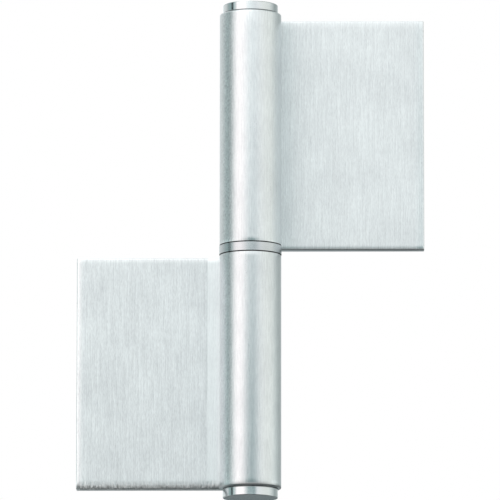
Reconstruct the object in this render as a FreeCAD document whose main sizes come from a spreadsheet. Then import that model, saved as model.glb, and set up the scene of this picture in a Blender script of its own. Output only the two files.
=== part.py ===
"""Lift-off hinge of the flag kind, in stainless plate, without screw holes.

Each half is one piece of plate: a flat leaf whose edge is rolled into a round eye.
The lower eye holds a pin, and a loose washer lies on it. The upper eye drops over
the pin and lifts off it. A headed cap closes the far end of each eye.

Origin: on the pin's axis, at mid height of the washer. +Z is up the pin, the way the
upper half lifts. +X points to the free edge of the upper leaf. +Y points out of the
leaves' backs, the faces that are welded to door and frame.
"""
import FreeCAD, Part
import os
from math import pi

import Sketcher
from FreeCAD import Placement, Rotation, Vector

# Driving dimensions, in millimetres
DRIVING = (
    ("plate_gauge", 3.0, "thickness of the plate that leaf and eye are made of"),
    ("leaf_reach", 46.0, "pin axis to the free edge of a leaf"),
    ("eye_bore", 10.3, "inside diameter of the rolled eye"),
    ("eye_length", 62.25, "length of one rolled eye"),
    ("seam_gap", 0.15, "rolled end to the leaf's front face"),
    ("leaf_setback", 0.25, "leaf's edge stands back from the rounding of the capped end"),
    ("leaf_proud", 0.15, "leaf's edge stands out past the faced end at the washer"),
    ("root_clearance", 0.2, "washer's rim to that standing edge"),
    ("leaf_round", 0.3, "rounding of the leaf's edges"),
    ("eye_round", 0.4, "rounding of the eye's capped end"),
    ("edge_break", 0.15, "small chamfer on a turned or faced edge"),
    ("washer_height", 2.5, "washer between the two eyes"),
    ("washer_proud", 0.1, "washer's rim beyond the eye's"),
    ("washer_slip", 0.1, "radial clearance of the washer on the spindle"),
    ("spindle_slip", 0.05, "radial running clearance of the spindle in the upper eye"),
    ("tip_clearance", 8.25, "free height between the pin's tip and the top cap's shank"),
    ("nose_length", 2.0, "taper at the pin's upper end"),
    ("nose_inset", 1.0, "how far that taper narrows the pin's radius"),
    ("cap_diameter", 14.5, "head of an end cap"),
    ("cap_height", 2.5, "head's height"),
    ("cap_round", 0.2, "rounding of the head's rim"),
    ("cap_shank", 8.0, "length of the cap that is pressed into the eye"),
)

doc = FreeCAD.newDocument("lift_off_hinge")
sheet = doc.addObject("Spreadsheet::Sheet", "sizes")
for row, (alias, value, meaning) in enumerate(DRIVING, start=1):
    sheet.set(f"A{row}", meaning)
    sheet.set(f"B{row}", str(value))
    sheet.setAlias(f"B{row}", alias)
doc.recompute()


def size(alias):
    """A driving dimension, read back from the sheet."""
    return float(getattr(sheet, alias))


BORE_RADIUS = size("eye_bore") / 2
EYE_RADIUS = BORE_RADIUS + size("plate_gauge")
WASHER_END = size("washer_height") / 2
CAPPED_END = WASHER_END + size("eye_length")
RIM_RADIUS = EYE_RADIUS + size("washer_proud")
EYE_STUB = ((RIM_RADIUS + size("root_clearance")) ** 2 - BORE_RADIUS**2) ** 0.5
EYE_STUB_RULE = (
    "sqrt((sizes.eye_bore / 2 + sizes.plate_gauge + sizes.washer_proud + sizes.root_clearance)^2"
    " - (sizes.eye_bore / 2)^2)"
)
NEAR = 1e-4


def origin_plane(body, role):
    """One of the body's own origin planes, by its role."""
    return next(feature for feature in body.Origin.OriginFeatures if feature.Role == role)


def new_body(label):
    body = doc.addObject("PartDesign::Body", label)
    body.Label = label
    return body


def new_sketch(body, name, role, height=None):
    """A sketch on one of the body's origin planes, raised by an expression if one is given."""
    sketch = body.newObject("Sketcher::SketchObject", name)
    sketch.AttachmentSupport = [(origin_plane(body, role), "")]
    sketch.MapMode = "FlatFace"
    if height:
        sketch.setExpression("AttachmentOffset.Base.z", height)
    return sketch


def bind(sketch, constraint, name, expression):
    """Adds a named dimension to a sketch and ties it to the sheet."""
    index = sketch.addConstraint(constraint)
    sketch.renameConstraint(index, name)
    sketch.setExpression(f"Constraints.{name}", expression)


def draw_outline(sketch, corners):
    """A closed outline of straight lines. A corner is (x, y, x expression, y expression).

    A corner without an x expression lies on the vertical axis, and one without a
    y expression on the horizontal axis. The values only start the solver off.
    """
    count = len(corners)
    for index, corner in enumerate(corners):
        end = corners[(index + 1) % count]
        start_point, end_point = Vector(corner[0], corner[1], 0), Vector(end[0], end[1], 0)
        sketch.addGeometry(Part.LineSegment(start_point, end_point), False)
    for index, (_x, _y, across, along) in enumerate(corners):
        following = (index + 1) % count
        sketch.addConstraint(Sketcher.Constraint("Coincident", index, 2, following, 1))
        for axis, line, expression, value in (
            ("DistanceX", -2, across, corners[index][0]),
            ("DistanceY", -1, along, corners[index][1]),
        ):
            if expression is None:
                sketch.addConstraint(Sketcher.Constraint("PointOnObject", index, 1, line))
            else:
                constraint = Sketcher.Constraint(axis, -1, 1, index, 1, value)
                bind(sketch, constraint, f"corner_{index}_{axis[-1]}", expression)


def turn_profile(body, corners):
    """Revolves a half section, drawn as (radius, height) corners, about the body's Z axis."""
    sketch = new_sketch(body, f"{body.Label}_section", "XZ_Plane")
    draw_outline(sketch, corners)
    turning = body.newObject("PartDesign::Revolution", f"{body.Label}_turning")
    turning.Profile = sketch
    turning.ReferenceAxis = (sketch, ["V_Axis"])
    turning.Angle = 360
    doc.recompute()
    return turning


def edge_names(shape, wanted):
    """Names of the edges whose middle point passes the test."""
    names = []
    for number, edge in enumerate(shape.Edges, start=1):
        if edge.Degenerated:
            continue
        first, last = edge.ParameterRange
        if wanted(edge, edge.valueAt((first + last) / 2)):
            names.append(f"Edge{number}")
    return names


def dress_edges(body, kind, name, base, wanted, expression):
    """A fillet or chamfer on the chosen edges, with its size tied to the sheet."""
    dressing = body.newObject(f"PartDesign::{kind}", name)
    dressing.Base = (base, edge_names(base.Shape, wanted))
    dressing.setExpression("Radius" if kind == "Fillet" else "Size", expression)
    doc.recompute()
    return dressing


def level(point, height):
    return abs(point.z - height) < NEAR


def is_line(edge):
    return isinstance(edge.Curve, (Part.Line, Part.LineSegment))


def is_rim(edge, radius):
    """Whether an edge is an arc of that radius about the pin's axis."""
    if not isinstance(edge.Curve, Part.Circle):
        return False
    centre = edge.Curve.Center
    return abs(edge.Curve.Radius - radius) < NEAR and abs(centre.x) < NEAR and abs(centre.y) < NEAR


# Leaves: a flat plate, and the rolled eye on its edge


def draw_rolled_section(sketch):
    """Round eye and the root of its leaf, as one closed section of even thickness."""
    seam_height = BORE_RADIUS - size("seam_gap")
    seam_outside = Vector((EYE_RADIUS**2 - seam_height**2) ** 0.5, seam_height, 0)
    seam_inside = seam_outside * (BORE_RADIUS / EYE_RADIUS)
    back, front = Vector(0, EYE_RADIUS, 0), Vector(0, BORE_RADIUS, 0)
    back_corner, front_corner = Vector(EYE_STUB, EYE_RADIUS, 0), Vector(EYE_STUB, BORE_RADIUS, 0)

    def rolled_arc(radius, start, end):
        circle = Part.Circle(Vector(0, 0, 0), Vector(0, 0, 1), radius)
        return Part.ArcOfCircle(circle, circle.parameter(start), circle.parameter(end))

    outside, inside, seam, back_face, root, front_face = sketch.addGeometry(
        [
            rolled_arc(EYE_RADIUS, back, seam_outside),
            rolled_arc(BORE_RADIUS, front, seam_inside),
            Part.LineSegment(seam_outside, seam_inside),
            Part.LineSegment(back, back_corner),
            Part.LineSegment(back_corner, front_corner),
            Part.LineSegment(front_corner, front),
        ],
        False,
    )
    for first, second in (
        ((outside, 3), (-1, 1)),
        ((inside, 3), (-1, 1)),
        ((outside, 2), (seam, 1)),
        ((seam, 2), (inside, 2)),
        ((outside, 1), (back_face, 1)),
        ((back_face, 2), (root, 1)),
        ((root, 2), (front_face, 1)),
        ((front_face, 2), (inside, 1)),
    ):
        sketch.addConstraint(Sketcher.Constraint("Coincident", *first, *second))
    sketch.addConstraint(Sketcher.Constraint("PointOnObject", outside, 1, -2))
    sketch.addConstraint(Sketcher.Constraint("PointOnObject", inside, 1, -2))
    sketch.addConstraint(Sketcher.Constraint("PointOnObject", -1, 1, seam))
    sketch.addConstraint(Sketcher.Constraint("Horizontal", back_face))
    sketch.addConstraint(Sketcher.Constraint("Vertical", root))
    bore = Sketcher.Constraint("Radius", inside, BORE_RADIUS)
    rim = Sketcher.Constraint("Radius", outside, EYE_RADIUS)
    length = Sketcher.Constraint("DistanceX", -1, 1, back_face, 2, EYE_STUB)
    gauge = Sketcher.Constraint("DistanceY", front_face, 1, back_face, 2, size("plate_gauge"))
    gap = Sketcher.Constraint("DistanceY", outside, 2, inside, 1, size("seam_gap"))
    bind(sketch, bore, "bore", "sizes.eye_bore / 2")
    bind(sketch, rim, "rim", "sizes.eye_bore / 2 + sizes.plate_gauge")
    bind(sketch, length, "stub", EYE_STUB_RULE)
    bind(sketch, gauge, "gauge", "sizes.plate_gauge")
    bind(sketch, gap, "gap", "sizes.seam_gap")


def draw_plate_section(sketch):
    """Section across the leaf, with its long edges rounded; its flat ends are above one another."""
    front, back, radius = BORE_RADIUS, EYE_RADIUS, size("leaf_round")
    low = WASHER_END - size("leaf_proud")
    high = CAPPED_END - size("eye_round") - size("leaf_setback")
    outline = []
    for turn, (start, end), corner in (
        (0, ((front + radius, low), (back - radius, low)), (back - radius, low + radius)),
        (1, ((back, low + radius), (back, high - radius)), (back - radius, high - radius)),
        (2, ((back - radius, high), (front + radius, high)), (front + radius, high - radius)),
        (3, ((front, high - radius), (front, low + radius)), (front + radius, low + radius)),
    ):
        circle = Part.Circle(Vector(*corner, 0), Vector(0, 0, 1), radius)
        quarter = pi / 2
        outline.append(Part.LineSegment(Vector(*start, 0), Vector(*end, 0)))
        outline.append(Part.ArcOfCircle(circle, (turn - 1) * quarter, turn * quarter))
    pieces = sketch.addGeometry(outline, False)
    for first, second in zip(pieces, (*pieces[1:], pieces[0])):
        sketch.addConstraint(Sketcher.Constraint("Tangent", first, 2, second, 1))
    foot, first_arc, rear, second_arc, top, third_arc, face, fourth_arc = pieces
    for line, direction in ((foot, "Horizontal"), (rear, "Vertical"), (top, "Horizontal"), (face, "Vertical")):
        sketch.addConstraint(Sketcher.Constraint(direction, line))
    for arc in (second_arc, third_arc, fourth_arc):
        sketch.addConstraint(Sketcher.Constraint("Equal", first_arc, arc))
    rounding = Sketcher.Constraint("Radius", first_arc, radius)
    front_place = Sketcher.Constraint("DistanceX", -1, 1, face, 1, front)
    back_place = Sketcher.Constraint("DistanceX", -1, 1, rear, 1, back)
    low_place = Sketcher.Constraint("DistanceY", -1, 1, foot, 1, low)
    high_place = Sketcher.Constraint("DistanceY", -1, 1, top, 1, high)
    bind(sketch, rounding, "rounding", "sizes.leaf_round")
    bind(sketch, front_place, "front", "sizes.eye_bore / 2")
    bind(sketch, back_place, "back", "sizes.eye_bore / 2 + sizes.plate_gauge")
    bind(sketch, low_place, "low", "sizes.washer_height / 2 - sizes.leaf_proud")
    bind(
        sketch,
        high_place,
        "high",
        "sizes.washer_height / 2 + sizes.eye_length - sizes.eye_round - sizes.leaf_setback",
    )


def make_leaf(label):
    """One half of the hinge, drawn as the upper one: leaf towards +X, eye above the washer."""
    body = new_body(label)
    rolled = new_sketch(body, f"{label}_rolled_section", "XY_Plane", "sizes.washer_height / 2")
    draw_rolled_section(rolled)
    eye = body.newObject("PartDesign::Pad", f"{label}_eye")
    eye.Profile = rolled
    eye.setExpression("Length", "sizes.eye_length")
    doc.recompute()

    def on_eye_end(height):
        """The outside of the eye's end, with the straight root behind it."""

        def wanted(edge, middle):
            straight = is_line(edge) and abs(middle.y - EYE_RADIUS) < NEAR
            return level(middle, height) and (straight or is_rim(edge, EYE_RADIUS))

        return wanted

    def at_free_edge(edge, middle):
        return middle.x > size("leaf_reach") - NEAR

    capped = dress_edges(body, "Fillet", f"{label}_capped_end", eye, on_eye_end(CAPPED_END), "sizes.eye_round")
    dress_edges(body, "Chamfer", f"{label}_washer_end", capped, on_eye_end(WASHER_END), "sizes.edge_break")

    plate_section = new_sketch(body, f"{label}_plate_section", "YZ_Plane", EYE_STUB_RULE)
    draw_plate_section(plate_section)
    plate = body.newObject("PartDesign::Pad", f"{label}_plate")
    plate.Profile = plate_section
    plate.setExpression("Length", f"sizes.leaf_reach - {EYE_STUB_RULE}")
    doc.recompute()
    dress_edges(body, "Fillet", f"{label}_free_edge", plate, at_free_edge, "sizes.leaf_round")
    return body


# Turned pieces


def make_cap(label):
    """End cap, drawn head up from the end of its shank."""
    body = new_body(label)
    head, shank, chamfer = size("cap_diameter") / 2, BORE_RADIUS, size("edge_break")
    seat = size("cap_shank")
    total = seat + size("cap_height")
    turning = turn_profile(
        body,
        (
            (0, 0, None, None),
            (shank, 0, "sizes.eye_bore / 2", None),
            (shank, seat, "sizes.eye_bore / 2", "sizes.cap_shank"),
            (head - chamfer, seat, "sizes.cap_diameter / 2 - sizes.edge_break", "sizes.cap_shank"),
            (head, seat + chamfer, "sizes.cap_diameter / 2", "sizes.cap_shank + sizes.edge_break"),
            (head, total, "sizes.cap_diameter / 2", "sizes.cap_shank + sizes.cap_height"),
            (0, total, None, "sizes.cap_shank + sizes.cap_height"),
        ),
    )
    dress_edges(
        body,
        "Fillet",
        f"{label}_rim",
        turning,
        lambda edge, middle: level(middle, total) and is_rim(edge, head),
        "sizes.cap_round",
    )
    return body


def make_washer(label):
    """Loose ring, drawn with its underside at height 0."""
    body = new_body(label)
    hole = BORE_RADIUS - size("spindle_slip") + size("washer_slip")
    rim, tall, chamfer = EYE_RADIUS + size("washer_proud"), size("washer_height"), size("edge_break")
    hole_radius = "sizes.eye_bore / 2 - sizes.spindle_slip + sizes.washer_slip"
    rim_radius = "sizes.eye_bore / 2 + sizes.plate_gauge + sizes.washer_proud"
    break_radius = f"{rim_radius} - sizes.edge_break"
    upper_break = "sizes.washer_height - sizes.edge_break"
    turn_profile(
        body,
        (
            (hole, 0, hole_radius, None),
            (rim - chamfer, 0, break_radius, None),
            (rim, chamfer, rim_radius, "sizes.edge_break"),
            (rim, tall - chamfer, rim_radius, upper_break),
            (rim - chamfer, tall, break_radius, "sizes.washer_height"),
            (hole, tall, hole_radius, "sizes.washer_height"),
        ),
    )
    return body


def make_pin(label):
    """Pin, drawn from its lower end up: a thicker part pressed into the lower eye, then the spindle."""
    body = new_body(label)
    pressed, spindle = BORE_RADIUS, BORE_RADIUS - size("spindle_slip")
    inset = size("nose_inset")
    shoulder = size("eye_length") - size("cap_shank")
    total = shoulder + size("washer_height") + shoulder - size("tip_clearance")
    taper = total - size("nose_length")
    shoulder_height = "sizes.eye_length - sizes.cap_shank"
    total_height = f"2 * ({shoulder_height}) + sizes.washer_height - sizes.tip_clearance"
    spindle_radius = "sizes.eye_bore / 2 - sizes.spindle_slip"
    nose_radius = f"{spindle_radius} - sizes.nose_inset"
    turn_profile(
        body,
        (
            (0, 0, None, None),
            (pressed, 0, "sizes.eye_bore / 2", None),
            (pressed, shoulder, "sizes.eye_bore / 2", shoulder_height),
            (spindle, shoulder, spindle_radius, shoulder_height),
            (spindle, taper, spindle_radius, f"{total_height} - sizes.nose_length"),
            (spindle - inset, total, nose_radius, total_height),
            (0, total, None, total_height),
        ),
    )
    return body


# Assembly

HALF_TURN = Rotation(Vector(0, 1, 0), 180)

upper_leaf = make_leaf("upper_leaf")
lower_leaf = make_leaf("lower_leaf")
lower_leaf.Placement = Placement(Vector(0, 0, 0), HALF_TURN)

top_cap = make_cap("top_cap")
top_cap.setExpression("Placement.Base.z", "sizes.washer_height / 2 + sizes.eye_length - sizes.cap_shank")
bottom_cap = make_cap("bottom_cap")
bottom_cap.Placement = Placement(Vector(0, 0, 0), HALF_TURN)
bottom_cap.setExpression("Placement.Base.z", "sizes.cap_shank - sizes.washer_height / 2 - sizes.eye_length")

thrust_washer = make_washer("thrust_washer")
thrust_washer.setExpression("Placement.Base.z", "-sizes.washer_height / 2")
hinge_pin = make_pin("hinge_pin")
hinge_pin.setExpression("Placement.Base.z", "sizes.cap_shank - sizes.washer_height / 2 - sizes.eye_length")
doc.recompute()

PIECES = (upper_leaf, lower_leaf, top_cap, bottom_cap, thrust_washer, hinge_pin)

for item in doc.Objects:
    if "Invalid" in item.State or "Error" in item.State:
        raise RuntimeError(f"{item.Label} failed: {item.State}")
for piece in PIECES:
    if piece.Shape.isNull() or not piece.Shape.isValid() or not piece.Shape.Solids:
        raise RuntimeError(f"{piece.Label} has no valid solid")

os.makedirs("parts", exist_ok=True)
for piece in PIECES:
    piece.Shape.exportStep(f"parts/{piece.Label}.step")
    box = piece.Shape.BoundBox
    print(
        f"{piece.Label}: volume {piece.Shape.Volume:.1f} mm3, x {box.XMin:.2f} to {box.XMax:.2f}, "
        f"y {box.YMin:.2f} to {box.YMax:.2f}, z {box.ZMin:.2f} to {box.ZMax:.2f}"
    )
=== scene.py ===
"""Looks of a stainless lift-off flag hinge, and a small white studio to see it in.

The six pieces come from model.glb and keep their shape. This script gives them their
finishes: plate ground along the pin, rolled eyes, turned caps and washer, drawn pin.
"""

import math

import bmesh
import bpy
from bpy.props import FloatProperty, FloatVectorProperty, PointerProperty
from mathutils import Matrix, Vector


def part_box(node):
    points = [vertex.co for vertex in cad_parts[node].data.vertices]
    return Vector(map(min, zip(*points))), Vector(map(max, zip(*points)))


bl_info = {
    "name": "Lift-off flag hinge",
    "version": (1, 0, 0),
    "blender": (4, 5, 0),
    "location": "View3D > Sidebar > Hinge",
    "description": "Finishes of a stainless lift-off hinge, and its studio",
    "category": "Object",
}

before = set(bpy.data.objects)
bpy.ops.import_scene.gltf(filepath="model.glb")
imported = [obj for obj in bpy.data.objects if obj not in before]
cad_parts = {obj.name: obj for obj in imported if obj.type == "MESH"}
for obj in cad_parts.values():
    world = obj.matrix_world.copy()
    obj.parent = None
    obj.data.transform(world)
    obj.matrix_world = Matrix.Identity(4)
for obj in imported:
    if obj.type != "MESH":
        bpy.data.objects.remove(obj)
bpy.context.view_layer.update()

MM = 0.001
# How far the flat leaf stands past the eye's end at the washer, and short of its capped end
LEAF_PROUD = 0.15 * MM
LEAF_SETBACK = 0.65 * MM


def node_box(name):
    """Lowest and highest corner of a piece, as vectors in metres."""
    low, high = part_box(name)
    return Vector(low), Vector(high)


UPPER_LOW, UPPER_HIGH = node_box("upper_leaf")
EYE_RADIUS = -UPPER_LOW.x
LEAF_REACH = UPPER_HIGH.x
CAPPED_FACE = UPPER_HIGH.z
WASHER_FACE = node_box("thrust_washer")[1].z
PLATE_LOW = WASHER_FACE - LEAF_PROUD
PLATE_HIGH = CAPPED_FACE - LEAF_SETBACK


class HingeFinish(bpy.types.PropertyGroup):
    """Colours and grain of the steel."""

    steel: FloatVectorProperty(
        name="Steel",
        description="Colour of the ground plate",
        subtype="COLOR",
        size=3,
        min=0.0,
        max=1.0,
        default=(0.71, 0.756, 0.79),
    )
    # Colour of the dark band in the joints: partly dirt, partly painted shade in the gaps between the
    # parts.
    film_and_painted_shade: FloatVectorProperty(
        name="Joint film",
        description="Colour of the thin dark film in the joints between the turned faces",
        subtype="COLOR",
        size=3,
        min=0.0,
        max=1.0,
        default=(0.035, 0.04, 0.04),
    )
    grain_width: FloatProperty(
        name="Grain width",
        description="Width of one grinding line on the plate",
        subtype="DISTANCE",
        unit="LENGTH",
        min=0.00002,
        max=0.002,
        default=0.0001,
    )
    grain_length: FloatProperty(
        name="Grain length",
        description="Length of one grinding line on the plate",
        subtype="DISTANCE",
        unit="LENGTH",
        min=0.0002,
        max=0.05,
        default=0.0009,
    )
    plate_roughness: FloatProperty(
        name="Plate roughness",
        description="Roughness of the ground faces",
        subtype="FACTOR",
        min=0.05,
        max=1.0,
        default=0.41,
    )
    eye_roughness: FloatProperty(
        name="Eye roughness",
        description="Roughness of the rolled eyes, which the belt only touches lightly",
        subtype="FACTOR",
        min=0.05,
        max=1.0,
        default=0.285,
    )
    turned_roughness: FloatProperty(
        name="Turned roughness",
        description="Roughness of caps and washer",
        subtype="FACTOR",
        min=0.05,
        max=1.0,
        default=0.13,
    )
    fall_width: FloatProperty(
        name="Edge fall width",
        description="Width of the zone in which the belt has rounded a face towards its edge",
        subtype="DISTANCE",
        unit="LENGTH",
        min=0.0005,
        max=0.01,
        default=0.003,
    )
    fall_depth: FloatProperty(
        name="Edge fall depth",
        description="How much lower the face is at its edge",
        subtype="DISTANCE",
        unit="LENGTH",
        min=0.0,
        max=0.001,
        default=0.0002,
    )
    root_width: FloatProperty(
        name="Unground root",
        description="Sideways distance from the pin's axis to where the belt starts on a leaf",
        subtype="DISTANCE",
        unit="LENGTH",
        min=0.008,
        max=0.03,
        default=0.0115,
    )
    root_slope: FloatProperty(
        name="Root slope",
        description="How steeply the lower leaf's smooth root climbs towards the eye",
        default=0.06,
        min=0.0,
        max=1.0,
    )
    # Half the height of the joints' dark band, which is partly dirt and partly painted shade.
    joint_width: FloatProperty(
        name="Joint film width",
        description="Half the height of the dark film at a joint",
        subtype="DISTANCE",
        unit="LENGTH",
        min=0.00002,
        max=0.0005,
        default=0.00016,
    )


class HingeStudio(bpy.types.PropertyGroup):
    """Camera, floor and light."""

    distance: FloatProperty(
        name="Camera distance",
        description="From the camera to the middle of the hinge",
        subtype="DISTANCE",
        unit="LENGTH",
        min=0.5,
        max=5.0,
        default=2.0,
    )
    rise: FloatProperty(
        name="Line of sight",
        description="How far the line of sight climbs: the camera stands below the hinge",
        subtype="ANGLE",
        unit="ROTATION",
        min=-1.5,
        max=1.5,
        default=math.radians(9.66),
    )
    swing: FloatProperty(
        name="Sideways look",
        description="Turn of the line of sight to the right: below 0 the camera stands right of the hinge",
        subtype="ANGLE",
        unit="ROTATION",
        min=-1.5,
        max=1.5,
        default=math.radians(-0.68),
    )
    roll: FloatProperty(
        name="Camera roll",
        description="Turn of the camera about its line of sight, anticlockwise",
        subtype="ANGLE",
        unit="ROTATION",
        min=-0.5,
        max=0.5,
        default=0.0007,
    )
    aim_right: FloatProperty(
        name="Aim to the right",
        description="Middle of the picture, to the right of the middle of the hinge",
        subtype="DISTANCE",
        unit="LENGTH",
        min=-0.05,
        max=0.05,
        default=-0.00011,
    )
    aim_up: FloatProperty(
        name="Aim upwards",
        description="Middle of the picture, above the middle of the hinge",
        subtype="DISTANCE",
        unit="LENGTH",
        min=-0.05,
        max=0.05,
        default=0.00021,
    )
    frame_width: FloatProperty(
        name="Frame width",
        description="Width of the picture at the hinge",
        subtype="DISTANCE",
        unit="LENGTH",
        min=0.05,
        max=1.0,
        default=0.13212,
    )
    floor_drop: FloatProperty(
        name="Floor below hinge",
        description="From the middle of the hinge down to the floor, below the camera's height",
        subtype="DISTANCE",
        unit="LENGTH",
        min=0.07,
        max=1.0,
        default=0.42,
    )
    ring_level: FloatProperty(
        name="Surround level",
        description="Brightness of the light ring round the hinge, 1 in front of it",
        min=0.0,
        max=3.0,
        default=1.0,
    )
    key_power: FloatProperty(
        name="Top light",
        description="Power of the soft light overhead",
        subtype="POWER",
        unit="POWER",
        min=0.0,
        max=500.0,
        default=2.5,
    )


def finish_settings():
    return bpy.context.scene.hinge_finish


def studio_settings():
    return bpy.context.scene.hinge_studio


class Wire:
    """A number in a shader. Python's arithmetic on it adds Math nodes."""

    def __init__(self, shader, socket):
        self.shader = shader
        self.socket = socket

    def math(self, operation, *operands):
        made = self.shader.node("ShaderNodeMath", {"operation": operation}, dict(enumerate(operands)))
        return self.shader.wire(made.outputs[0])

    def __add__(self, other):
        return self.math("ADD", self, other)

    def __radd__(self, other):
        return self.math("ADD", other, self)

    def __sub__(self, other):
        return self.math("SUBTRACT", self, other)

    def __rsub__(self, other):
        return self.math("SUBTRACT", other, self)

    def __mul__(self, other):
        return self.math("MULTIPLY", self, other)

    def __rmul__(self, other):
        return self.math("MULTIPLY", other, self)

    def __truediv__(self, other):
        return self.math("DIVIDE", self, other)

    def __rtruediv__(self, other):
        return self.math("DIVIDE", other, self)

    def __pow__(self, other):
        return self.math("POWER", self, other)

    def __rpow__(self, other):
        return self.math("POWER", other, self)

    def __neg__(self):
        return self.math("MULTIPLY", self, -1.0)

    def __abs__(self):
        return self.math("ABSOLUTE", self)

    def at_least(self, least):
        return self.math("MAXIMUM", self, least)

    def above(self, start, end):
        """0 up to start and 1 from end on, smooth between them; start may be the larger."""
        made = self.shader.node(
            "ShaderNodeMapRange",
            {"interpolation_type": "SMOOTHSTEP"},
            {"Value": self, "From Min": min(start, end), "From Max": max(start, end)},
        )
        step = self.shader.wire(made.outputs[0])
        return step if start < end else 1 - step

    def bump(self, centre, width):
        """A smooth hill of height 1 at centre that ends a width away from it."""
        return abs(self - centre).above(width, 0.0)


class Shader:
    """A node tree being written. Every node comes from node(), which sets its settings first."""

    def __init__(self, tree):
        self.tree = tree
        tree.nodes.clear()

    def node(self, kind, settings=None, inputs=None):
        made = self.tree.nodes.new(kind)
        for name, value in (settings or {}).items():
            if name == "stops":
                self.set_stops(made.color_ramp, value)
            else:
                setattr(made, name, value)
        for name, value in (inputs or {}).items():
            if isinstance(value, Wire):
                self.tree.links.new(value.socket, made.inputs[name])
            elif isinstance(value, bpy.types.NodeSocket):
                self.tree.links.new(value, made.inputs[name])
            else:
                made.inputs[name].default_value = value
        return made

    @staticmethod
    def set_stops(ramp, stops):
        while len(ramp.elements) > 1:
            ramp.elements.remove(ramp.elements[-1])
        for index, (place, colour) in enumerate(stops):
            element = ramp.elements[0] if index == 0 else ramp.elements.new(place)
            element.position = place
            element.color = (*colour, 1.0)

    def wire(self, socket):
        return Wire(self, socket)

    def axes(self, output="Object"):
        """X, Y and Z of the coordinates, as three wires."""
        place = self.node("ShaderNodeTexCoord")
        split = self.node("ShaderNodeSeparateXYZ", inputs={"Vector": place.outputs[output]})
        return [self.wire(socket) for socket in split.outputs]

    def noise(self, across, over, along, detail=2.0, roughness=0.5):
        """Noise from 0 to 1 at a point given by three wires, one unit to a blob."""
        point = self.node("ShaderNodeCombineXYZ", inputs={"X": across, "Y": over, "Z": along})
        made = self.node(
            "ShaderNodeTexNoise",
            inputs={
                "Vector": point.outputs[0],
                "Scale": 1.0,
                "Detail": detail,
                "Roughness": roughness,
            },
        )
        return self.wire(made.outputs["Fac"])

    def streaks(self, place, across, along, detail=2.0):
        """Noise with this many blobs to the metre across the pin and along it."""
        x, y, z = place
        return self.noise(x * across, y * across, z * along, detail)

    def blend(self, factor, first, second):
        """A colour that turns from the first into the second; each is a socket or three numbers."""
        ends = [(*end, 1.0) if isinstance(end, tuple) else end for end in (first, second)]
        made = self.node(
            "ShaderNodeMix", {"data_type": "RGBA"}, {"Factor": factor, "A": ends[0], "B": ends[1]}
        )
        return made.outputs["Result"]

    def relief(self, height):
        """A normal bent by a height in metres."""
        made = self.node("ShaderNodeBump", inputs={"Height": height, "Strength": 1.0, "Distance": 1.0})
        return made.outputs["Normal"]

    def metal(self, colour, roughness, normal, anisotropy=0.0):
        surface = self.node(
            "ShaderNodeBsdfPrincipled",
            inputs={
                "Base Color": colour,
                "Metallic": 1.0,
                "Roughness": roughness,
                "Normal": normal,
                "Anisotropic": anisotropy,
            },
        )
        self.node("ShaderNodeOutputMaterial", inputs={"Surface": surface.outputs["BSDF"]})


def scaled(colour, factor):
    return tuple(min(1.0, channel * factor) for channel in colour)


def new_material(name):
    material = bpy.data.materials.new(name)
    material.use_nodes = True
    return material, Shader(material.node_tree)


def joint_film_and_shade(height, face, width):
    """1 on the dark band at the joints this high up, on either half of the hinge: partly dirt, partly
    painted shade in the gap between the parts.
    """
    return abs(abs(height) - face).above(width, width * 0.5)


def fall_off(inside, width):
    """How far a face has fallen at a distance inside its edge: 0 from the width on, 1 at the edge."""
    near = (1 - inside / width).at_least(0.0)
    return near * near * near


DARKEST_TONE, LIGHTEST_TONE = 0.7, 1.3


def toned(shader, tone):
    """The steel's colour times a tone, which is held between the darkest and the lightest."""
    steel = tuple(finish_settings().steel)
    share = (tone - DARKEST_TONE) / (LIGHTEST_TONE - DARKEST_TONE)
    return shader.blend(share, scaled(steel, DARKEST_TONE), scaled(steel, LIGHTEST_TONE))


# Relief of the ground plate: heights of its marks, and how far the burr eats into the lower edge
SCRATCH_HEIGHT = 0.005 * MM
EYE_GRAIN_HEIGHT = 0.03 * MM
BURR_REACH = 1.6 * MM
# The relief of the eyes falls towards their ends by this times the square of the height
EYE_FALL = 0.18
# The pitted strip on the front of the eyes, sideways from the pin's axis
PITS_MIDDLE = -6.1 * MM
PITS_WIDTH = 2.6 * MM


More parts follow.
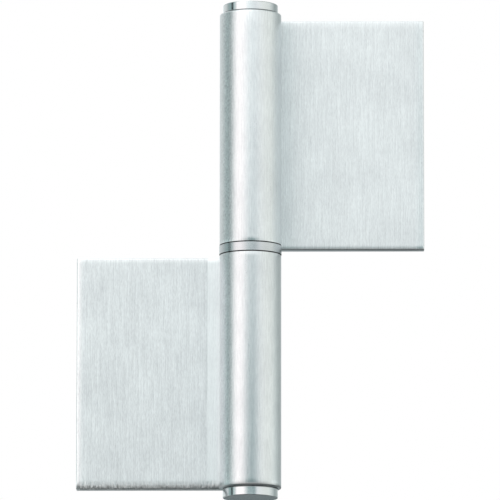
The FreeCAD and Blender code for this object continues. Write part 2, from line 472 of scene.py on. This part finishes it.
def ground_plate():
    """Plate ground along the pin, smoother on the eyes and on the root beside the lower eye, where a
    lighter tone is painted as a reflection.

    The belt has rounded the edges, the most at the lower edge of the lower leaf, where it left a burr. The
    lower leaf's outer edge has a painted highlight, and the washer joint painted shade.
    """
    look = finish_settings()
    material, shader = new_material("ground_plate")
    place = x, y, z = shader.axes()
    side, height = abs(x), abs(z)
    radius = (x * x + y * y) ** 0.5

    on_eye = radius.above(EYE_RADIUS + 0.4 * MM, EYE_RADIUS + 0.1 * MM)
    off_eye = 1 - on_eye
    lower_half = z.above(0.5 * MM, -0.5 * MM)
    # The smooth unground root beside the lower eye; its lighter tone below is a painted reflection of the
    # bright light to the left.
    root = side.above(look.root_width + 0.1 * MM, look.root_width - 0.1 * MM) * off_eye * lower_half
    belt_mark = side.bump(look.root_width, 0.25 * MM) * lower_half
    leaf_rim = side.above(LEAF_REACH - look.fall_width, LEAF_REACH)
    # Painted highlight along the lower leaf's outer edge, which faces the light.
    painted_edge_highlight = side.above(LEAF_REACH - 0.4 * MM, LEAF_REACH - 0.2 * MM) * lower_half

    def by_half(upper, lower):
        return upper + (lower - upper) * lower_half

    across, along = 1 / look.grain_width, 1 / look.grain_length
    fine = shader.streaks(place, across, along)
    lines = shader.streaks(place, across, along / 8)
    long_lines = shader.streaks(place, across / 3, along / 25)
    dents = shader.streaks(place, across / 3, along * 0.35, detail=3.0)
    pits = shader.streaks(place, across / 4, across / 6, detail=1.0)
    cloud = shader.streaks(place, 120, 90, detail=3.0)
    grain = (fine - 0.5 + (lines - 0.5) * 0.9) * (1 - 0.5 * root - on_eye)
    eye_grain = (dents - 0.5) * on_eye
    pitted = 0.1 + by_half(0.7, 0.45) * x.bump(PITS_MIDDLE, PITS_WIDTH) * y.above(0.0, -1 * MM)

    tone = (
        0.965
        + by_half(0.1, 0.115) * (off_eye - root)
        # Painted reflection: the lower root is painted lighter.
        + 0.185 * root
        - 0.1 * belt_mark
        + 0.18 * painted_edge_highlight
        + by_half(0.5, 0.6) * grain
        + 0.34 * eye_grain
        + (pits - 0.5) * pitted * on_eye
        + 0.13 * (long_lines - 0.5)
        + 0.24 * (cloud - 0.5)
    )
    # Painted shade, with some dirt, where the eye's rim meets the washer; darker on the upper half.
    at_rim = radius.above(EYE_RADIUS - 1.2 * MM, EYE_RADIUS - 0.6 * MM) * on_eye
    film_and_painted_shade = joint_film_and_shade(z, WASHER_FACE, look.joint_width * 1.3) * at_rim * by_half(1.8, 0.8)
    colour = shader.blend(film_and_painted_shade, toned(shader, tone), tuple(look.film_and_painted_shade))

    flat_roughness = look.plate_roughness + grain * 0.1 - root * 0.1 - leaf_rim * 0.12
    eye_roughness = look.eye_roughness + (long_lines - 0.5) * 0.06
    roughness = flat_roughness + (eye_roughness - flat_roughness) * on_eye + film_and_painted_shade * 0.4

    burr = (dents - 0.5) * BURR_REACH * lower_half
    # Each edge: the distance inside it, then the width and the depth of its fall as shares of the usual
    edges = (
        (height - PLATE_LOW, by_half(0.45, 0.6), by_half(1.0, 0.4) * off_eye),
        (PLATE_HIGH - height + burr, 0.9, by_half(0.4, 3.0) * off_eye),
        (LEAF_REACH - side, 1.0, by_half(1.0, 1.5)),
        (height - WASHER_FACE, 0.5, 0.5 * on_eye),
        (CAPPED_FACE - height, by_half(1.6, 0.7), by_half(1.0, 1.5) * on_eye),
    )
    scratches = (grain + long_lines * 0.4) * (1 - 0.8 * root - 0.8 * leaf_rim)
    relief = scratches * SCRATCH_HEIGHT + eye_grain * EYE_GRAIN_HEIGHT
    relief += (look.root_width - side) * root * look.root_slope - z * z * on_eye * EYE_FALL
    for inside, width, depth in edges:
        relief -= fall_off(inside, width * look.fall_width) * depth * look.fall_depth
    shader.metal(colour, roughness, shader.relief(relief), anisotropy=0.65)
    return material


def turned_steel():
    """Fine turned steel: lines run round the axis on rims and faces. The washer is the darker one. The
    joints carry painted shade with some dirt.
    """
    look = finish_settings()
    material, shader = new_material("turned_steel")
    place = x, y, z = shader.axes()
    radius = (x * x + y * y) ** 0.5
    lines = shader.noise(radius * 4500, x * 20, z * 4500, detail=3.0, roughness=0.6)
    waves = shader.noise(radius * 1100, x * 30, z * 1100, detail=1.0)
    cloud = shader.streaks(place, 400, 400)
    on_washer = abs(z).above(WASHER_FACE + 2 * MM, WASHER_FACE + 1 * MM)
    tone = 0.93 - 0.16 * on_washer + (lines - 0.5) * 0.12 + (waves - 0.5) * 0.06 + (cloud - 0.5) * 0.12
    at_rim = radius.above(EYE_RADIUS - 0.6 * MM, EYE_RADIUS - 0.3 * MM)
    # Painted shade, with some dirt, at the joints between the caps and the eyes, darker at the top cap.
    cap_film_and_shade = joint_film_and_shade(z, CAPPED_FACE, look.joint_width * 2.8) * (0.6 + 0.3 * z.above(0.0, 1 * MM))
    film_and_painted_shade = joint_film_and_shade(z, WASHER_FACE, look.joint_width) * at_rim + cap_film_and_shade
    colour = shader.blend(film_and_painted_shade, toned(shader, tone), tuple(look.film_and_painted_shade))
    roughness = look.turned_roughness + (lines - 0.5) * 0.12 + film_and_painted_shade * 0.4 + on_washer * 0.12
    shader.metal(colour, roughness, shader.relief((lines + waves * 0.5) * (0.004 * MM)))
    return material


def drawn_steel():
    """Smooth drawn bar with faint lengthwise lines and rubbed rings where the eye turns."""
    material, shader = new_material("drawn_steel")
    place = shader.axes()
    draw_lines = shader.streaks(place, 3000, 60)
    rubbed = shader.streaks(place, 40, 2500)
    colour = toned(shader, 0.95 + (draw_lines - 0.5) * 0.08 + (rubbed - 0.5) * 0.08)
    roughness = 0.18 + (rubbed - 0.5) * 0.14
    shader.metal(colour, roughness, shader.relief((rubbed + draw_lines * 0.5) * (0.003 * MM)))
    return material


def dress(material, *names):
    """Gives a carried-over piece its material."""
    for name in names:
        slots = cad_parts[name].material_slots
        if not slots:
            raise RuntimeError(f"{name} has no material slot")
        for entry in slots:
            entry.material = material


class HINGE_OT_leaves(bpy.types.Operator):
    """Grind the two leaves with their rolled eyes"""

    bl_idname = "hinge.leaves"
    bl_label = "Leaves"

    def execute(self, context):
        dress(ground_plate(), "upper_leaf", "lower_leaf")
        return {"FINISHED"}


class HINGE_OT_turned(bpy.types.Operator):
    """Finish the caps and the washer as turned steel"""

    bl_idname = "hinge.turned"
    bl_label = "Caps and washer"

    def execute(self, context):
        dress(turned_steel(), "top_cap", "bottom_cap", "thrust_washer")
        return {"FINISHED"}


class HINGE_OT_pin(bpy.types.Operator):
    """Finish the pin as drawn bar"""

    bl_idname = "hinge.pin"
    bl_label = "Pin"

    def execute(self, context):
        dress(drawn_steel(), "hinge_pin")
        return {"FINISHED"}


# The ring of light by its direction, 0 in front and -90 to the left: degrees, brightness, red, blue
SURROUND = (
    (-180, 0.95, 0.86, 1.02),
    (-150, 0.94, 0.98, 0.99),
    (-122, 0.78, 0.97, 0.98),
    (-109, 0.54, 0.88, 0.98),
    (-98, 0.50, 0.78, 0.98),
    (-90, 0.50, 0.76, 0.98),
    (-86, 0.07, 0.78, 1.00),
    (-79, 0.07, 0.78, 1.00),
    (-75, 0.72, 0.80, 0.98),
    (-66, 0.84, 0.96, 0.98),
    (-57, 1.50, 1.09, 0.98),
    (-25, 1.50, 1.09, 0.98),
    (-8, 1.36, 0.98, 0.99),
    (8, 1.26, 0.98, 0.99),
    (24, 1.12, 1.00, 1.00),
    (60, 1.07, 1.00, 0.95),
    (86, 1.01, 0.99, 0.95),
    (106, 0.72, 0.94, 0.97),
    (124, 0.46, 0.90, 0.97),
    (150, 0.56, 0.93, 0.98),
    (168, 0.76, 0.92, 1.00),
)
SURROUND_PEAK = 1.6
CAMERA_PAINT = (0.03, 0.11, 0.115)
WHITE = (1.0, 1.0, 1.0)


def light_surround(world):
    """A ring of soft light round the hinge, brightest to the left of the dark camera.

    The room is darker towards the floor and low behind the hinge, and lighter low at its sides.
    Its Z runs from -1 straight below to 1 straight above. The camera itself sees plain white.
    """
    world.use_nodes = True
    shader = Shader(world.node_tree)
    x, y, z = shader.axes("Generated")
    degrees = x.math("ARCTAN2", x, -y) * (180 / math.pi)
    stops = []
    for angle, brightness, red, blue in SURROUND:
        share = brightness / SURROUND_PEAK
        stops.append(((angle + 180) / 360, (share * red, share, share * blue)))
    ring = shader.node("ShaderNodeValToRGB", {"stops": stops}, {"Fac": degrees / 360 + 0.5})
    camera_width = degrees.bump(0.0, 38.0) * 0.92 + degrees.bump(18.0, 13.0) * 0.4
    camera_height = z.above(0.17, 0.14) * z.above(-0.46, -0.2)
    room = shader.blend(camera_width * camera_height, ring.outputs["Color"], CAMERA_PAINT)
    to_camera = shader.wire(shader.node("ShaderNodeLightPath").outputs["Is Camera Ray"])
    colour = shader.blend(to_camera, room, WHITE)

    towards_floor = 0.14 + 0.86 * z.above(-0.75, 0.1)
    low_shade = z.bump(-0.13, 0.16) * 0.96 - z.bump(-0.14, 0.06) * 0.2
    behind = 1 - abs(degrees).above(95.0, 130.0) * low_shade
    left_and_right = degrees.bump(-100.0, 58.0) * 0.9 + degrees.bump(108.0, 40.0) * 0.7
    low_at_sides = 1 + left_and_right * z.above(0.15, 0.02)
    level = towards_floor * behind * low_at_sides * (SURROUND_PEAK * studio_settings().ring_level)
    strength = level * (1 - to_camera) + to_camera
    background = shader.node("ShaderNodeBackground", inputs={"Color": colour, "Strength": strength})
    shader.node("ShaderNodeOutputWorld", inputs={"Surface": background.outputs[0]})


FLOOR_REACH = 8.0
FLOOR_PAINT = (0.86, 0.86, 0.86, 1.0)
FLOOR_GLOW = 0.14
TOP_LIGHT_PLACE = (-0.25, -0.35, 0.9)
TOP_LIGHT_SIZE = 1.2


def pale_floor(drop):
    """A pale board far below, seen from above only, which takes the hinge's shadow."""
    mesh = bpy.data.meshes.new("floor")
    build = bmesh.new()
    bmesh.ops.create_grid(build, x_segments=1, y_segments=1, size=FLOOR_REACH)
    bmesh.ops.translate(build, verts=build.verts, vec=(0, 0, -drop))
    build.to_mesh(mesh)
    build.free()
    floor = bpy.data.objects.new("floor", mesh)
    bpy.context.collection.objects.link(floor)
    material, shader = new_material("pale_board")
    board = shader.node(
        "ShaderNodeBsdfPrincipled",
        inputs={
            "Base Color": FLOOR_PAINT,
            "Roughness": 0.8,
            "Emission Color": (*WHITE, 1.0),
            "Emission Strength": FLOOR_GLOW,
        },
    )
    open_below = shader.node("ShaderNodeBsdfTransparent")
    from_below = shader.node("ShaderNodeNewGeometry").outputs["Backfacing"]
    surface = shader.node(
        "ShaderNodeMixShader", inputs={0: from_below, 1: board.outputs[0], 2: open_below.outputs[0]}
    )
    shader.node("ShaderNodeOutputMaterial", inputs={"Surface": surface.outputs[0]})
    mesh.materials.append(material)
    floor.visible_glossy = False


def soft_light(name, place, size, power):
    """A square soft light that looks at the hinge."""
    lamp = bpy.data.lights.new(name, "AREA")
    lamp.shape = "SQUARE"
    lamp.size = size
    lamp.energy = power
    light = bpy.data.objects.new(name, lamp)
    bpy.context.collection.objects.link(light)
    turn = Vector(place).to_track_quat("Z", "Y").to_matrix().to_4x4()
    light.matrix_world = Matrix.Translation(place) @ turn


def set_camera(studio):
    """Long lens a little below the hinge and to its right, rolled a little."""
    level = Vector((math.sin(studio.swing), math.cos(studio.swing), 0))
    ahead = level * math.cos(studio.rise) + Vector((0, 0, math.sin(studio.rise)))
    right = Vector((level.y, -level.x, 0))
    up = right.cross(ahead)
    rolled_right = right * math.cos(studio.roll) + up * math.sin(studio.roll)
    rolled_up = up * math.cos(studio.roll) - right * math.sin(studio.roll)
    turn = Matrix((rolled_right, rolled_up, -ahead)).transposed().to_4x4()
    aim = rolled_right * studio.aim_right + rolled_up * studio.aim_up
    lens = bpy.data.cameras.new("camera")
    lens.sensor_width = 36.0
    lens.lens = lens.sensor_width * studio.distance / studio.frame_width
    lens.clip_end = 20.0
    camera = bpy.data.objects.new("camera", lens)
    bpy.context.collection.objects.link(camera)
    camera.matrix_world = Matrix.Translation(aim - ahead * studio.distance) @ turn
    bpy.context.scene.camera = camera


class HINGE_OT_stage(bpy.types.Operator):
    """Set up the floor, the light and the camera"""

    bl_idname = "hinge.stage"
    bl_label = "Stage"

    def execute(self, context):
        studio = studio_settings()
        scene = context.scene
        scene.view_settings.view_transform = "Standard"
        if scene.world is None:
            scene.world = bpy.data.worlds.new("studio")
        light_surround(scene.world)
        pale_floor(studio.floor_drop)
        soft_light("top_light", TOP_LIGHT_PLACE, TOP_LIGHT_SIZE, studio.key_power)
        set_camera(studio)
        return {"FINISHED"}


class HINGE_PT_panel(bpy.types.Panel):
    """Sizes, colours and steps of the hinge"""

    bl_label = "Lift-off hinge"
    bl_idname = "HINGE_PT_panel"
    bl_space_type = "VIEW_3D"
    bl_region_type = "UI"
    bl_category = "Hinge"

    def draw(self, context):
        layout = self.layout
        for group in (context.scene.hinge_finish, context.scene.hinge_studio):
            column = layout.column(align=True)
            for name in group.__annotations__:
                column.prop(group, name)
        for step in STEPS:
            layout.operator(step.bl_idname)


STEPS = (HINGE_OT_leaves, HINGE_OT_turned, HINGE_OT_pin, HINGE_OT_stage)
CLASSES = (HingeFinish, HingeStudio, *STEPS, HINGE_PT_panel)


def register():
    for cls in CLASSES:
        bpy.utils.register_class(cls)
    bpy.types.Scene.hinge_finish = PointerProperty(type=HingeFinish)
    bpy.types.Scene.hinge_studio = PointerProperty(type=HingeStudio)


def unregister():
    del bpy.types.Scene.hinge_studio
    del bpy.types.Scene.hinge_finish
    for cls in reversed(CLASSES):
        bpy.utils.unregister_class(cls)


def main():
    for name in ("Cube", "Light", "Camera"):
        stray = bpy.data.objects.get(name)
        if stray:
            bpy.data.objects.remove(stray)
    register()
    bpy.ops.hinge.leaves()
    bpy.ops.hinge.turned()
    bpy.ops.hinge.pin()
    bpy.ops.hinge.stage()


if __name__ == "__main__":
    main()
